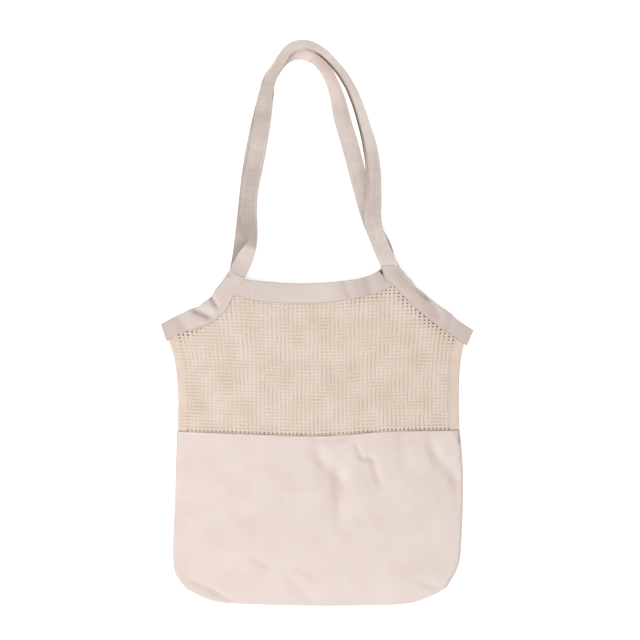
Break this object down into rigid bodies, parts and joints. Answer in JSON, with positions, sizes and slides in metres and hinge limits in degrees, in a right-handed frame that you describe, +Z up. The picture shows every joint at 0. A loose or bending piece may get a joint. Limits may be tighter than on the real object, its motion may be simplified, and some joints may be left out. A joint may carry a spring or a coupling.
{
  "type": "reusable cotton bag",
  "caption": "Natural cotton tote bag lying flat: canvas pouch, net upper part, canvas band and armhole bindings, and long shoulder straps.",
  "frame": {"origin": "under the middle of the bag and its straps, on the surface it lies on", "axes": "+X to the viewer's right across the bag, +Y from the bottom seam towards the top of the straps, +Z up from the surface through the back to the front"},
  "size_m": [0.4071, 0.7392, 0.0253],
  "materials": {
    "canvas": "natural plain-weave cotton canvas",
    "net": "natural knotted cotton net",
    "trim": "natural cotton canvas, folded and topstitched",
    "tape": "natural cotton tape, soft and creased"
  },
  "bodies": {
    "root": {"canvas_back": "canvas", "net_back": "net", "top_band_back": "trim", "binding_back_left": "trim", "binding_back_right": "trim", "strap_back": "tape", "canvas_front": "canvas", "net_front": "net", "top_band_front": "trim", "binding_front_left": "trim", "binding_front_right": "trim", "strap_front": "tape"}
  },
  "joints": []
}
